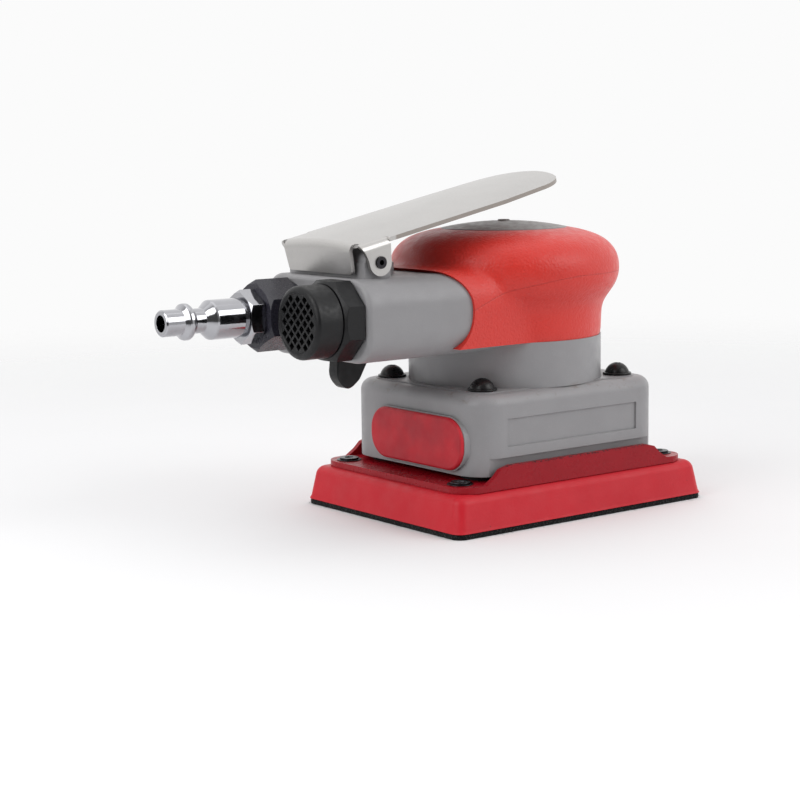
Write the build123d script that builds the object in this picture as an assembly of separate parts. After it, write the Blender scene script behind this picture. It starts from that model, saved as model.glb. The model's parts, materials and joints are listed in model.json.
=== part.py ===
from build123d import *
from math import cos, radians, sin, sqrt
import os

# A palm-grip pneumatic orbital sander. Millimetres. X runs to the front, away from the air
# hose, and Z runs up. The origin is where the motor axis meets the plane of the pad's face.

# --- Pad, plate and orbit -------------------------------------------------------------------
ORBIT_RADIUS = 1.19
ORBIT_REST_ANGLE = 53.0
PAD_CENTRE = (ORBIT_RADIUS * cos(radians(ORBIT_REST_ANGLE)), ORBIT_RADIUS * sin(radians(ORBIT_REST_ANGLE)))
PAD_LENGTH = 103.2
PAD_WIDTH = 78.6
PAD_CORNER = 3.5
FACING_TOP = 1.7
PAD_TOP = 12.5
PAD_TAPER = 9.5
PAD_EDGE_ROUND = 2.0
PLATE_TOP = 14.5
PLATE_LENGTH = 94.6
PLATE_WIDTH = 72.4
PLATE_CORNER = 7.0
FLANGE_THICK = 1.8
FLANGE_TOP = 19.8
FLANGE_FOOT_X = 38.0
FLANGE_TOP_X = 30.2
PAD_SCREW_X = 42.0
PAD_SCREW_Y = 28.5
PAD_SCREW_HEAD = 3.1
PAD_SCREW_SHANK = 1.95
PAD_WASHER_RADIUS = 4.0
PAD_WASHER_THICK = 0.3
PAD_HEAD_TOP = PLATE_TOP + 0.9
HUB_SCREW_RING = 16.6
HUB_FLANGE_RADIUS = 19.4
HUB_RADIUS = 14.6
HUB_TOP = 27.6
HUB_BORE = 11.0
RECESS_BOTTOM = 9.5
HEAD_BOTTOM = 10.4

# --- Lower housing --------------------------------------------------------------------------
SHROUD_HALF_X = 38.4
SHROUD_HALF_Y = 33.0
SHROUD_CORNER = 10.0
SHROUD_BOTTOM = 16.2
SHROUD_TOP = 41.0
SHROUD_WALL = 3.0
SHROUD_ROOF = 3.5
SKIRT_STEP_Z = 21.7
SKIRT_STEP_Y = 31.7
LABEL_HALF_X = 27.0
LABEL_LOW = 24.9
LABEL_HIGH = 33.5
LABEL_DEPTH = 0.6
LEG_X = 28.4
LEG_Y = 22.7
LEG_RADIUS = 6.5
BOSS_RADIUS = 7.4
BOSS_BOTTOM = 34.5
LEG_NECK_RADIUS = 5.3
DOME_RADIUS = 3.9
DOME_RISE = 3.9
DOME_SPHERE = 4.85
SOCKET_FLATS = 2.7
SCREW_WASHER_RADIUS = 4.6
SCREW_WASHER_THICK = 0.8
SEAT_RADIUS = 5.3
SEAT_TOP = SHROUD_TOP + 0.3

# --- Port boss and its cover on the rear face -----------------------------------------------
PORT_CENTRE = (-4.4, 25.7)
PORT_SIZE = (46.5, 17.0)
PORT_ROUND = 7.8
PORT_WALL = 2.4
PORT_COVER_INSET = 0.4
PORT_BOSS_X = -39.4
PORT_COVER_X = -40.6

# --- Motor housing, grip and barrel ---------------------------------------------------------
COLLAR_RADIUS = 31.0
COLLAR_TOP = 55.2
CORE_RADIUS = 27.6
CORE_TOP = 83.0
MOTOR_BORE = 25.45
MOTOR_BORE_TOP = 80.2
SPIGOT_RADIUS = 27.9
SPIGOT_BOTTOM = 36.0
GRIP_RADIUS = 36.6
GRIP_WIDEST_Z = 76.3
CAP_RADIUS = 20.1
CAP_EDGE_Z = 89.2
CAP_CROWN_Z = 91.3
CAP_NUB_RADIUS = 1.9
CAP_NUB_RISE = 0.4
BARREL_REAR = -74.0
BARREL_HALF_Y = 27.0
BARREL_LOW = 52.9
BARREL_HIGH = 77.6
BARREL_ROUND = 8.5
BARREL_NOSE = (-48.6, 66.2)
BARREL_NOSE_RADIUS = 13.3
SADDLE_REAR = -43.6
SADDLE_LENGTH = 32.0
SADDLE_LIFT = 0.6
BOSS_HALF_X = 4.7
BOSS_HALF_Y = 19.3
BOSS_CROWN_RADIUS = 4.4
PORT_AXIS_Z = 65.7
INLET_Y = 13.0
EXHAUST_Y = -14.0
CLEARANCE = 0.05

# --- Air inlet and plug ---------------------------------------------------------------------
INLET_FLATS = 19.0
INLET_REAR = -87.5
INLET_SHANK = 8.0
INLET_BORE = 5.5
INLET_THREAD_BORE = 6.65
SCREEN_PITCH = 1.35
PLUG_REAR = -119.5
PLUG_FLATS = 14.3
PLUG_RADIUS = 6.6
PLUG_BORE = 2.5

# --- Exhaust muffler ------------------------------------------------------------------------
MUFFLER_FLATS = 23.3
MUFFLER_SHANK = 9.0
MUFFLER_BORE = 7.2
MUFFLER_COLLAR_REAR = -81.2
MUFFLER_REAR = -90.2
MUFFLER_RADIUS = 10.8
LATTICE_PITCH = 1.72
LATTICE_HOLE = 1.75
LATTICE_REACH = 7.2

# --- Lever, in its own plane: along it from the pin, and square to it -------------------------
PIVOT_X = -65.0
PIVOT_Z = 82.2
LEVER_SLOPE = 11.95
LEVER_HALF_WIDTH = 21.0
LEVER_EDGE_TOP = 6.4
LEVER_CROWN = 1.4
LEVER_THICK = 1.25
LEVER_BEND = 2.4
LEVER_REAR = -7.5
LEVER_NOSE = 81.4
FLANGE_HALF_WIDTH = 17.3
FLANGE_DROP = -2.0
EAR_RADIUS = 4.0
EAR_FRONT = 5.1
EAR_HEEL = 5.9
NOTCH_RADIUS = 1.0
PIN_RADIUS = 1.8
PIN_BORE = 0.8
PIN_LENGTH = 43.0

# --- Valve and speed regulator --------------------------------------------------------------
PLUNGER_X = -52.0
PLUNGER_TOP = 91.0
PLUNGER_RADIUS = 3.2
STEM_RADIUS = 2.05
VALVE_BORE = 4.5
SPRING_LOW = 57.6
SPRING_HIGH = 61.0
SPRING_WIRE = 0.5
SPRING_TURNS = 3.2
REGULATOR_X = -61.9
DIAL_RADIUS = 7.5
DIAL_SHAFT = 4.5
TAB_THICK = 5.0

# --- Motor ----------------------------------------------------------------------------------
ROTOR_LOW = 48.2
ROTOR_HIGH = 71.8
ROTOR_RADIUS = 19.8
LINER_BORE = 22.0
LINER_OFFSET = 1.9
LINER_RADIUS = 25.4
LOWER_BEARING_RADIUS = 13.0
UPPER_BEARING_RADIUS = 8.0
SHAFT_TOP_RADIUS = 4.0
SHAFT_ROTOR_RADIUS = 6.0
SHAFT_LOW_RADIUS = 7.5
ECCENTRIC_RADIUS = 5.0
WEIGHT_RADIUS = 23.0
WEIGHT_LOW = 32.2
WEIGHT_HIGH = 36.6
VANES = 5


# --- Small helpers --------------------------------------------------------------------------
def box(x0, x1, y0, y1, z0, z1):
    return Pos((x0 + x1) / 2, (y0 + y1) / 2, (z0 + z1) / 2) * Box(x1 - x0, y1 - y0, z1 - z0)


def post(radius, z0, z1, at=(0, 0)):
    return Pos(at[0], at[1], (z0 + z1) / 2) * Cylinder(radius, z1 - z0)


def ring(outer, inner, z0, z1, at=(0, 0)):
    return post(outer, z0, z1, at) - post(inner, z0 - 1, z1 + 1, at)


def rod(radius, x0, x1, y, z):
    return Pos((x0 + x1) / 2, y, z) * Rot(0, 90, 0) * Cylinder(radius, x1 - x0)


def pipe(outer, inner, x0, x1, y, z):
    return rod(outer, x0, x1, y, z) - rod(inner, x0 - 1, x1 + 1, y, z)


def prism(sides, across_flats, x0, x1, y, z, turn=0.0):
    shape = RegularPolygon(across_flats / 2, sides, major_radius=False, rotation=turn)
    return Pos(x0, y, z) * Rot(0, 90, 0) * extrude(shape, x1 - x0)


def slab(length, width, corner, z0, z1):
    return Pos(0, 0, z0) * extrude(RectangleRounded(length, width, corner), z1 - z0)


def turned(points, y, z):
    """Revolve a profile of (x, radius) points about an axis along X."""
    outline = make_face(Polyline(*[(x, radius) for x, radius in points], close=True))
    return Pos(0, y, z) * revolve(outline, Axis.X, 360)


def on_pad(shape):
    return Pos(PAD_CENTRE[0], PAD_CENTRE[1], 0) * shape


def rim(part, z):
    """The edges that lie wholly at height z."""
    found = part.edges().filter_by(lambda e: abs(e.bounding_box().min.Z - z) < 1e-3)
    return found.filter_by(lambda e: abs(e.bounding_box().max.Z - z) < 1e-3)


# --- Pad ------------------------------------------------------------------------------------
def pad_facing():
    return on_pad(slab(PAD_LENGTH, PAD_WIDTH, PAD_CORNER, 0, FACING_TOP))


def pad_body():
    base = RectangleRounded(PAD_LENGTH, PAD_WIDTH, PAD_CORNER)
    body = Pos(0, 0, FACING_TOP) * extrude(base, PAD_TOP - FACING_TOP, taper=PAD_TAPER)
    body = fillet(rim(body, PAD_TOP), PAD_EDGE_ROUND)
    for at in hub_screw_places():
        body -= post(3.2, RECESS_BOTTOM, PAD_TOP + 1, at)
    for at in leg_places():
        body -= post(4.2, RECESS_BOTTOM, PAD_TOP + 1, at)
    for at in pad_screw_places():
        body -= post(2.0, 5.0, PAD_TOP + 1, at)
    return on_pad(body)


def leg_places():
    return [(sx * LEG_X, sy * LEG_Y) for sx in (-1, 1) for sy in (-1, 1)]


def pad_screw_places():
    return [(sx * PAD_SCREW_X, sy * PAD_SCREW_Y) for sx in (-1, 1) for sy in (-1, 1)]


def hub_screw_places():
    turns = [45 + 90 * i for i in range(4)]
    return [(HUB_SCREW_RING * cos(radians(t)), HUB_SCREW_RING * sin(radians(t))) for t in turns]


def plate_flange(side):
    outline = [
        (-FLANGE_FOOT_X, PLATE_TOP - 1),
        (-FLANGE_FOOT_X, PLATE_TOP),
        (-FLANGE_TOP_X - 4.4, PLATE_TOP + 2.2),
        (-FLANGE_TOP_X - 2.2, FLANGE_TOP - 1.0),
        (-FLANGE_TOP_X + 1.6, FLANGE_TOP),
    ]
    outline += [(-x, z) for x, z in reversed(outline)]
    sheet = extrude(Plane.XZ * make_face(Polyline(*outline, close=True)), FLANGE_THICK)
    outer = PLATE_WIDTH / 2
    return Pos(0, outer if side > 0 else FLANGE_THICK - outer, 0) * sheet


def pad_plate():
    plate = slab(PLATE_LENGTH, PLATE_WIDTH, PLATE_CORNER, PAD_TOP, PLATE_TOP)
    for side in (-1, 1):
        plate += plate_flange(side)
    for at in leg_places():
        plate -= post(2.2, PAD_TOP - 1, PLATE_TOP + 1, at)
    for at in hub_screw_places():
        plate -= post(1.6, PAD_TOP - 1, PLATE_TOP + 1, at)
    for at in pad_screw_places():
        plate -= post(2.0, PAD_TOP - 1, PLATE_TOP + 1, at)
    return on_pad(plate)


def pad_washer(at):
    return ring(PAD_WASHER_RADIUS, 2.0, PLATE_TOP, PLATE_TOP + PAD_WASHER_THICK, at)


def pad_screw(at):
    seat = PLATE_TOP + PAD_WASHER_THICK
    head = post(PAD_SCREW_HEAD, seat, PAD_HEAD_TOP, at)
    socket = RegularPolygon(SOCKET_FLATS / 2, 6, major_radius=False)
    socket = Pos(at[0], at[1], PAD_HEAD_TOP - 0.4) * extrude(socket, 1)
    return head + post(PAD_SCREW_SHANK, 5.2, seat, at) - socket


def hub_screw(at):
    return post(3.0, HEAD_BOTTOM, PAD_TOP, at) + post(1.55, PAD_TOP, 17.4, at)


def leg_screw(at):
    return post(4.0, HEAD_BOTTOM, PAD_TOP, at) + post(2.0, PAD_TOP, 20.0, at)


def pad_hub():
    hub = post(HUB_FLANGE_RADIUS, PLATE_TOP, 17.5) + post(HUB_RADIUS, 17.5, HUB_TOP)
    hub -= post(HUB_BORE + 0.02, 16.6, HUB_TOP + 2)
    for at in hub_screw_places():
        hub -= post(1.6, PLATE_TOP - 1, 18, at)
    return on_pad(hub)


def hub_bearing():
    return on_pad(ring(HUB_BORE, ECCENTRIC_RADIUS + 0.04, 16.8, 25.8))


def hub_retaining_ring():
    return on_pad(ring(HUB_BORE, 8.2, 25.9, 27.0))


# --- Lower housing --------------------------------------------------------------------------
def port_outline(grow=0.0):
    length, height = PORT_SIZE
    face = RectangleRounded(length + 2 * grow, height + 2 * grow, PORT_ROUND + grow)
    return Plane(origin=(0, PORT_CENTRE[0], PORT_CENTRE[1]), x_dir=(0, 1, 0), z_dir=(-1, 0, 0)) * face


def lower_housing():
    shell = slab(2 * SHROUD_HALF_X, 2 * SHROUD_HALF_Y, SHROUD_CORNER, SHROUD_BOTTOM, SHROUD_TOP)
    shell = fillet(rim(shell, SHROUD_TOP), 3.6)
    shell += Pos(-SHROUD_HALF_X + 6, 0, 0) * extrude(port_outline(), -PORT_BOSS_X - SHROUD_HALF_X + 6)
    inner = (2 * (SHROUD_HALF_X - SHROUD_WALL), 2 * (SHROUD_HALF_Y - SHROUD_WALL))
    corner = SHROUD_CORNER - SHROUD_WALL
    shell -= slab(inner[0], inner[1], corner, SHROUD_BOTTOM - 1, SHROUD_TOP - SHROUD_ROOF)
    shell -= Pos(-SHROUD_HALF_X + 6, 0, 0) * extrude(port_outline(-PORT_WALL), 12)
    for side in (-1, 1):
        outside = side * (SHROUD_HALF_Y + 5)
        inside = side * SKIRT_STEP_Y
        shell -= box(-50, 50, min(inside, outside), max(inside, outside), 0, SKIRT_STEP_Z)
        inside = side * (SHROUD_HALF_Y - LABEL_DEPTH)
        near, far = min(inside, outside), max(inside, outside)
        shell -= box(-LABEL_HALF_X, LABEL_HALF_X, near, far, LABEL_LOW, LABEL_HIGH)
    shell -= post(SPIGOT_RADIUS + CLEARANCE, 20, SHROUD_TOP + 1)
    for at in leg_places():
        boss = post(BOSS_RADIUS, BOSS_BOTTOM, SHROUD_TOP - SHROUD_ROOF, at)
        shell += boss - post(SPIGOT_RADIUS + CLEARANCE, 20, SHROUD_TOP + 1)
    raised = slab(2 * (LEG_X + SEAT_RADIUS), 2 * (LEG_Y + SEAT_RADIUS), SEAT_RADIUS, SHROUD_TOP, SEAT_TOP)
    shell += raised - post(COLLAR_RADIUS + CLEARANCE, SHROUD_TOP - 1, SEAT_TOP + 1)
    for at in leg_places():
        shell -= post(2.1, BOSS_BOTTOM - 1, SHROUD_TOP + 2, at)
    return shell


def port_cover():
    cap = Pos(PORT_BOSS_X, 0, 0) * extrude(port_outline(-PORT_COVER_INSET), PORT_BOSS_X - PORT_COVER_X)
    front = cap.edges().filter_by(lambda e: abs(e.center().X - PORT_COVER_X) < 1e-3)
    cap = fillet(front, 0.8)
    return cap + Pos(PORT_BOSS_X + 2.5, 0, 0) * extrude(port_outline(-PORT_WALL - CLEARANCE), 2.6)


def housing_screw(at):
    seat = SEAT_TOP + SCREW_WASHER_THICK
    top = SEAT_TOP + DOME_RISE
    dome = post(DOME_RADIUS, seat, top) & Pos(0, 0, top + 0.05 - DOME_SPHERE) * Sphere(DOME_SPHERE)
    socket = Pos(0, 0, top - 1.3) * extrude(RegularPolygon(SOCKET_FLATS / 2, 6, major_radius=False), 3)
    return Pos(at[0], at[1], 0) * (dome - socket) + post(2.0, 28.4, seat, at)


def screw_washer(at):
    return ring(SCREW_WASHER_RADIUS, 2.1, SEAT_TOP, SEAT_TOP + SCREW_WASHER_THICK, at)


def support_leg(at):
    leg = post(LEG_RADIUS, PLATE_TOP + 0.1, BOSS_BOTTOM, at)
    leg -= ring(LEG_RADIUS + 1, LEG_NECK_RADIUS, 23.0, 27.0, at)
    leg -= post(3.5, PLATE_TOP, 21.6, at)
    return leg - post(2.05, 28.0, BOSS_BOTTOM + 1, at)


# --- Motor housing and what it carries -------------------------------------------------------
def barrel_solid():
    height = BARREL_HIGH - BARREL_LOW
    section = RectangleRounded(2 * BARREL_HALF_Y, height, BARREL_ROUND)
    plane = Plane(origin=(BARREL_REAR, 0, (BARREL_LOW + BARREL_HIGH) / 2), x_dir=(0, 1, 0), z_dir=(1, 0, 0))
    barrel = extrude(plane * section, -BARREL_REAR - 10)
    end = barrel.edges().filter_by(lambda e: abs(e.center().X - BARREL_REAR) < 1e-3)
    return fillet(end, 1.6)


def lever_boss():
    rear, front = PIVOT_X - BOSS_HALF_X, PIVOT_X + BOSS_HALF_X
    foot = box(rear, front, -BOSS_HALF_Y, BOSS_HALF_Y, BARREL_HIGH - 2, PIVOT_Z)
    crown = Pos(PIVOT_X, 0, PIVOT_Z) * Rot(90, 0, 0) * Cylinder(BOSS_CROWN_RADIUS, 2 * BOSS_HALF_Y)
    return foot + crown + post(6.0, BARREL_HIGH - 2, BARREL_HIGH + 3, (PLUNGER_X, 0))


def motor_housing():
    body = post(COLLAR_RADIUS, SHROUD_TOP, COLLAR_TOP) + post(CORE_RADIUS, COLLAR_TOP, CORE_TOP)
    body += post(SPIGOT_RADIUS, SPIGOT_BOTTOM, SHROUD_TOP)
    body += barrel_solid() + lever_boss()
    body -= post(MOTOR_BORE, SPIGOT_BOTTOM - 1, MOTOR_BORE_TOP)
    body -= rod(INLET_SHANK, BARREL_REAR - 1, -57, INLET_Y, PORT_AXIS_Z)
    body -= rod(MUFFLER_SHANK, BARREL_REAR - 1, -60, EXHAUST_Y, PORT_AXIS_Z)
    body -= rod(7.0, -61, -20, EXHAUST_Y, PORT_AXIS_Z)
    body -= post(VALVE_BORE, 57.0, BARREL_HIGH - 1.4, (PLUNGER_X, 0))
    body -= post(3.3, BARREL_HIGH - 2, BARREL_HIGH + 4, (PLUNGER_X, 0))
    body -= Pos(-57.5, 6.5, PORT_AXIS_Z) * Rot(90, 0, 0) * Cylinder(2.2, 13)
    body -= rod(2.2, -59.5, PLUNGER_X, 0.6, PORT_AXIS_Z)
    body -= rod(2.4, PLUNGER_X, -20, 0, 61.6)
    body -= post(7.6, BARREL_LOW - 1, 54.5, (REGULATOR_X, 0))
    body -= post(4.55, 54, 62.2, (REGULATOR_X, 0))
    body -= Pos(PIVOT_X, 0, PIVOT_Z) * Rot(90, 0, 0) * Cylinder(PIN_RADIUS + 0.02, 60)
    return body


def palm_grip():
    neck = [(CORE_RADIUS + CLEARANCE, COLLAR_TOP), (COLLAR_RADIUS, COLLAR_TOP), (COLLAR_RADIUS, 62.5)]
    crest = (GRIP_RADIUS, GRIP_WIDEST_Z)
    shoulder = (30.7, 86.1)
    lip = (CAP_RADIUS + CLEARANCE, CAP_EDGE_Z)
    waist = Spline(neck[2], (33.9, 69.0), crest, tangents=[(0, 1), (0, 1)])
    crown = Spline(crest, shoulder, lip, tangents=[(0, 1), (-1, 0.22)])
    seat = CAP_EDGE_Z - 2.2
    inner = Polyline(
        lip, (lip[0], seat), (0, seat), (0, CORE_TOP + CLEARANCE), (neck[0][0], CORE_TOP + CLEARANCE), neck[0]
    )
    outline = make_face([Polyline(*neck), waist, crown, inner])
    shell = revolve(Plane.XZ * outline, Axis.Z, 360)
    height = BARREL_HIGH - BARREL_LOW + 2 * SADDLE_LIFT
    section = RectangleRounded(2 * (BARREL_HALF_Y + SADDLE_LIFT), height, BARREL_ROUND + SADDLE_LIFT)
    plane = Plane(origin=(SADDLE_REAR, 0, (BARREL_LOW + BARREL_HIGH) / 2), x_dir=(0, 1, 0), z_dir=(1, 0, 0))
    saddle = extrude(plane * section, SADDLE_LENGTH) - box(-60, 0, -40, 40, 0, COLLAR_TOP)
    nose = Pos(BARREL_NOSE[0], 0, BARREL_NOSE[1]) * Rot(90, 0, 0) * Cylinder(BARREL_NOSE_RADIUS, 80)
    grip = shell + (saddle - nose - post(CORE_RADIUS + CLEARANCE, 50, 86))
    return grip - barrel_solid()


def top_cap():
    seat = CAP_EDGE_Z - 2.2
    rise = CAP_CROWN_Z - CAP_EDGE_Z
    radius = (CAP_RADIUS**2 + rise**2) / (2 * rise)
    dome = post(CAP_RADIUS, seat, CAP_CROWN_Z + 1) & Pos(0, 0, CAP_CROWN_Z - radius) * Sphere(radius)
    return dome + post(CAP_NUB_RADIUS, CAP_CROWN_Z - 1, CAP_CROWN_Z + CAP_NUB_RISE)


def lever_pin():
    pin = Pos(PIVOT_X, 0, PIVOT_Z) * Rot(90, 0, 0) * Cylinder(PIN_RADIUS, PIN_LENGTH)
    return pin - Pos(PIVOT_X, 0, PIVOT_Z) * Rot(90, 0, 0) * Cylinder(PIN_BORE, PIN_LENGTH + 2)


def lock_ring():
    return ring(LINER_RADIUS, 14.0, 37.0, 40.0)


# --- Air inlet ------------------------------------------------------------------------------
def inlet_bushing():
    hexagon = prism(6, INLET_FLATS, INLET_REAR, BARREL_REAR - 0.9, INLET_Y, PORT_AXIS_Z, 0)
    corner = INLET_FLATS / sqrt(3)
    rear, front = INLET_REAR, BARREL_REAR + 2
    cone = [(rear, 0), (rear, corner - 1.3), (rear + 1.3, corner + 0.2), (front, corner + 0.2), (front, 0)]
    cone = turned(cone, INLET_Y, PORT_AXIS_Z)
    body = (hexagon & cone) + rod(9.6, BARREL_REAR - 0.9, BARREL_REAR, INLET_Y, PORT_AXIS_Z)
    body += rod(INLET_SHANK - CLEARANCE, BARREL_REAR, -62, INLET_Y, PORT_AXIS_Z)
    body -= rod(INLET_THREAD_BORE, -90, -77.4, INLET_Y, PORT_AXIS_Z)
    return body - rod(INLET_BORE, -78, -60, INLET_Y, PORT_AXIS_Z)


def inlet_screen():
    disc = rod(INLET_BORE - CLEARANCE, -70.4, -69.6, INLET_Y, PORT_AXIS_Z)
    for i in range(-3, 4):
        for j in range(-3, 4):
            if i * i + j * j < 11:
                disc -= rod(0.45, -72, -68, INLET_Y + SCREEN_PITCH * i, PORT_AXIS_Z + SCREEN_PITCH * j)
    return disc


def air_plug():
    profile = [
        (PLUG_REAR, 0), (PLUG_REAR, 3.55), (PLUG_REAR + 0.4, 3.95), (-113.4, 3.95), (-112.4, 5.3),
        (-111.9, 5.45), (-111.0, 5.45), (-110.4, 5.1), (-109.2, 3.7), (-106.0, 3.7), (-103.6, 5.8), (-103.0, 5.95),
        (-93.9, 5.95), (-93.5, 5.2), (-92.8, 5.2), (-92.8, PLUG_RADIUS), (-77.5, PLUG_RADIUS), (-77.5, 0),
    ]
    body = turned(profile, INLET_Y, PORT_AXIS_Z)
    hexagon = prism(6, PLUG_FLATS, -92.8, -87.6, INLET_Y, PORT_AXIS_Z, 0)
    corner = PLUG_FLATS / sqrt(3)
    cone = [
        (-92.8, 0), (-92.8, corner - 0.9), (-92.1, corner + 0.1),
        (-88.2, corner + 0.1), (-87.6, corner - 0.9), (-87.6, 0),
    ]
    cone = turned(cone, INLET_Y, PORT_AXIS_Z)
    return body + (hexagon & cone) - rod(PLUG_BORE, -121, -77, INLET_Y, PORT_AXIS_Z)


# --- Exhaust muffler ------------------------------------------------------------------------
def muffler_collar():
    rear, front = MUFFLER_COLLAR_REAR, BARREL_REAR + 1
    octagon = prism(8, MUFFLER_FLATS, rear, BARREL_REAR - 0.5, EXHAUST_Y, PORT_AXIS_Z, 22.5)
    corner = MUFFLER_FLATS / 2 / cos(radians(22.5))
    cone = [(rear, 0), (rear, corner - 1.6), (rear + 1.4, corner + 0.1), (front, corner + 0.1), (front, 0)]
    cone = turned(cone, EXHAUST_Y, PORT_AXIS_Z)
    body = (octagon & cone) + rod(MUFFLER_SHANK - CLEARANCE, BARREL_REAR - 0.5, -62, EXHAUST_Y, PORT_AXIS_Z)
    body += rod(MUFFLER_SHANK - 0.1, -85.0, rear, EXHAUST_Y, PORT_AXIS_Z)
    return body - rod(MUFFLER_BORE, -90, -60, EXHAUST_Y, PORT_AXIS_Z)


def muffler_cap():
    rear, wide = MUFFLER_REAR, MUFFLER_RADIUS
    side = [(rear, 0), (rear, wide - 1.4), (rear + 0.3, wide - 0.7), (rear + 1.0, wide)]
    side += [(-81.5, wide), (-81.5, 0)]
    outer = turned(side, EXHAUST_Y, PORT_AXIS_Z)
    outer -= rod(MUFFLER_SHANK - CLEARANCE, rear + 1.6, -80, EXHAUST_Y, PORT_AXIS_Z)
    outer -= rod(8.6, rear - 1, rear + 0.35, EXHAUST_Y, PORT_AXIS_Z)
    hole = extrude(Plane.YZ * (Rot(0, 0, 45) * Rectangle(LATTICE_HOLE, LATTICE_HOLE)), 4)
    pitch = LATTICE_PITCH
    holes = []
    for i in range(-4, 5):
        for j in range(-4, 5):
            if (i + j) % 2 == 0 and pitch * sqrt(i * i + j * j) < LATTICE_REACH:
                holes.append(Pos(rear - 1, EXHAUST_Y + pitch * i, PORT_AXIS_Z + pitch * j) * hole)
    return outer - holes


def muffler_felt():
    return rod(8.8, -88.4, -85.1, EXHAUST_Y, PORT_AXIS_Z)


def muffler_gasket():
    return pipe(10.4, 9.0, -81.45, -81.25, EXHAUST_Y, PORT_AXIS_Z)


# --- Throttle valve -------------------------------------------------------------------------
def valve_bushing():
    bushing = ring(VALVE_BORE - 0.04, STEM_RADIUS + CLEARANCE, 67.6, BARREL_HIGH - 1.5, (PLUNGER_X, 0))
    return bushing - rod(1.4, -60, -50, 0, 69.5)


def valve_seat():
    return ring(VALVE_BORE - 0.04, 2.5, 64.0, 65.2, (PLUNGER_X, 0))


def valve_plunger():
    button = post(PLUNGER_RADIUS, 79.6, PLUNGER_TOP, (PLUNGER_X, 0))
    button = fillet(rim(button, PLUNGER_TOP), 1.6)
    stem = post(STEM_RADIUS, 62.0, 79.6, (PLUNGER_X, 0))
    return button + stem + post(3.6, 61.6, 63.6, (PLUNGER_X, 0))


def valve_spring():
    height = SPRING_HIGH - SPRING_LOW
    coil = Helix(pitch=height / SPRING_TURNS, height=height, radius=2.7)
    start = Plane(origin=coil @ 0, z_dir=coil % 0)
    spring = sweep(start * Circle(SPRING_WIRE / 2), path=coil, is_frenet=True)
    return Pos(PLUNGER_X, 0, SPRING_LOW) * spring


# --- Speed regulator under the barrel -------------------------------------------------------
def speed_regulator():
    dial = post(DIAL_RADIUS, 53.0, 54.4, (REGULATOR_X, 0)) + post(DIAL_SHAFT, 54.4, 62.0, (REGULATOR_X, 0))
    top = Polyline((-56.2, 51.2), (-55.9, 53.4), (-67.5, 53.4), (-68.0, 48.6))
    tip = Spline((-68.0, 48.6), (-66.7, 45.0), (-63.7, 43.1), (-60.7, 44.6), (-56.2, 51.2),
                 tangents=[(0, -1), (0.6, 1)])
    tab = Pos(0, TAB_THICK / 2, 0) * extrude(Plane.XZ * make_face([top, tip]), TAB_THICK)
    sides = tab.edges().filter_by(lambda e: abs(abs(e.center().Y) - TAB_THICK / 2) < 1e-3)
    tab = chamfer(sides.filter_by(lambda e: e.center().Z < 53.0), 0.5)
    flow_port = Pos(REGULATOR_X, 0, 59.5) * Rot(90, 0, 0) * Cylinder(1.9, 12)
    groove = ring(6.0, 3.8, 56.0, 57.2, (REGULATOR_X, 0))
    return dial + tab - flow_port - groove


def regulator_seal():
    return ring(DIAL_SHAFT + 0.02, 3.82, 56.05, 57.15, (REGULATOR_X, 0))


# --- Lever ----------------------------------------------------------------------------------
def on_lever(shape):
    """Take a shape from the lever's own plane, with the pin at the origin, to its place."""
    return Pos(PIVOT_X, 0, PIVOT_Z) * Rot(0, -LEVER_SLOPE, 0) * shape


def lever_skin(lift, low=-20.0):
    """A block with the lever's crowned top, from well below it up to lift above its sheet."""
    arc = ThreePointArc((-LEVER_HALF_WIDTH - 2, LEVER_EDGE_TOP - 0.3 + lift),
                        (0, LEVER_EDGE_TOP + LEVER_CROWN + lift),
                        (LEVER_HALF_WIDTH + 2, LEVER_EDGE_TOP - 0.3 + lift))
    side = LEVER_HALF_WIDTH + 2
    top = LEVER_EDGE_TOP - 0.3 + lift
    edge = Polyline((side, top), (side, low), (-side, low), (-side, top))
    plane = Plane(origin=(-12, 0, 0), x_dir=(0, 1, 0), z_dir=(1, 0, 0))
    return extrude(plane * make_face([arc, edge]), 110)


def lever_outline():
    """The lever's plan ahead of the pin: straight sides that draw in towards a broad rounded nose."""
    wide, nose = LEVER_HALF_WIDTH, LEVER_NOSE
    right = Polyline((0, wide), (0, -wide), (50.0, -wide), (68.0, -19.4))
    corner_low = Spline((68.0, -19.4), (75.4, -16.6), (78.6, -12.4), tangents=[(1, 0.12), (0.4, 1)])
    front = ThreePointArc((78.6, -12.4), (nose, 0), (78.6, 12.4))
    corner_high = Spline((78.6, 12.4), (75.4, 16.6), (68.0, 19.4), tangents=[(-0.4, 1), (-1, 0.12)])
    left = Polyline((68.0, 19.4), (50.0, wide), (0, wide))
    return make_face([right, corner_low, front, corner_high, left])


def lever_lid(inset):
    """The rear of the lever as a block with rounded top edges; inset 0 is the sheet's outside."""
    wide = LEVER_HALF_WIDTH - inset
    front = EAR_FRONT + 0.4 + inset
    block = box(LEVER_REAR + inset, front, -wide, wide, -20, 20) & lever_skin(-inset)
    crest = LEVER_EDGE_TOP - inset - 0.6
    upper = block.edges().filter_by(lambda e: e.center().Z > crest and e.center().X < front - 0.1)
    return fillet(upper, LEVER_BEND - inset)


def ear_profile():
    """What is kept of the lid from the side: the top, and two ears that flare into it."""
    foot = EAR_RADIUS
    rear = Spline((-EAR_HEEL, LEVER_EDGE_TOP), (-5.0, 4.3), (-foot, 0), tangents=[(0.25, -1), (0, -1)])
    round_end = ThreePointArc((-foot, 0), (0, -foot), (foot, 0))
    front = Polyline((foot, 0), (EAR_FRONT, LEVER_EDGE_TOP), (EAR_FRONT, 10), (-EAR_HEEL, 10),
                     (-EAR_HEEL, LEVER_EDGE_TOP))
    return Pos(0, 30, 0) * extrude(Plane.XZ * make_face([rear, round_end, front]), 60)


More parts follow.
